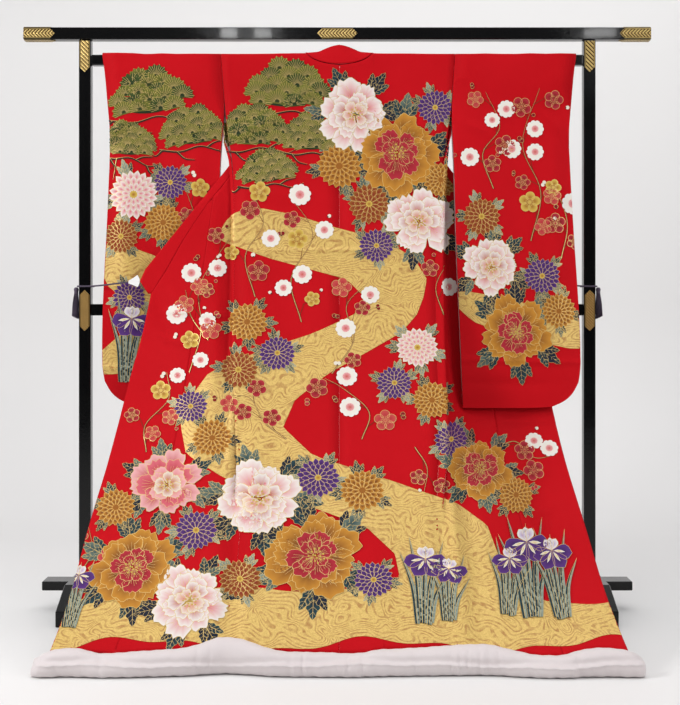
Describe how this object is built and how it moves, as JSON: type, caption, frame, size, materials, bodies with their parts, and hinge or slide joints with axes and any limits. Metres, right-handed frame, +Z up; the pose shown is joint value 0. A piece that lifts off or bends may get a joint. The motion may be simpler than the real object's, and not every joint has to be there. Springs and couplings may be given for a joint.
{
  "type": "uchikake wedding kimono on kimono stand",
  "caption": "Long-sleeved trailing silk over-kimono with a padded hem, hung back outwards on a lacquered stand, its fronts drawn out by tasselled cords.",
  "frame": {"origin": "on the floor under the middle of the whole part", "axes": "+X to the viewer's right along the top bar, -Y towards the viewer, who sees the garment's back, +Z up"},
  "size_m": [1.806, 0.9674, 1.6785],
  "materials": {
    "black_lacquer": "polished black lacquer on wood",
    "gilt": "engraved gilt metal, satin",
    "red_silk": "red silk satin with many-coloured woven and embroidered flowers",
    "pale_lining": "pale lavender-white plain silk, softly padded at the hem",
    "purple_cord": "twisted dull purple silk cord",
    "white_clip": "plain white"
  },
  "bodies": {
    "root": {"top_bar": "black_lacquer", "hanging_rail": "black_lacquer", "middle_rail": "black_lacquer", "lower_rail": "black_lacquer", "lower_rail_end_left": "black_lacquer", "lower_rail_end_right": "black_lacquer", "post_left": "black_lacquer", "post_right": "black_lacquer", "foot_left": "black_lacquer", "foot_right": "black_lacquer", "plate_centre_front": "gilt", "plate_centre_rear": "gilt", "plate_end_left_front": "gilt", "plate_end_left_rear": "gilt", "plate_end_left_under": "gilt", "plate_end_left_over": "gilt", "plate_top_left_front": "gilt", "plate_waist_left_front": "gilt", "plate_top_left_rear": "gilt", "plate_waist_left_rear": "gilt", "plate_end_right_front": "gilt", "plate_end_right_rear": "gilt", "plate_end_right_under": "gilt", "plate_end_right_over": "gilt", "plate_top_right_front": "gilt", "plate_waist_right_front": "gilt", "plate_top_right_rear": "gilt", "plate_waist_right_rear": "gilt", "back_left": "red_silk", "front_left": "red_silk", "overlap_left": "red_silk", "sleeve_left_outer": "red_silk", "sleeve_left_inner": "red_silk", "back_right": "red_silk", "front_right": "red_silk", "overlap_right": "red_silk", "sleeve_right_outer": "red_silk", "sleeve_right_inner": "red_silk", "collar": "red_silk", "hem_roll": "pale_lining", "cord_loop_left": "purple_cord", "cord_left": "purple_cord", "tassel_left": "purple_cord", "clip_left": "white_clip", "cord_loop_right": "purple_cord", "cord_right": "purple_cord", "tassel_right": "purple_cord", "clip_right": "white_clip"}
  },
  "joints": []
}
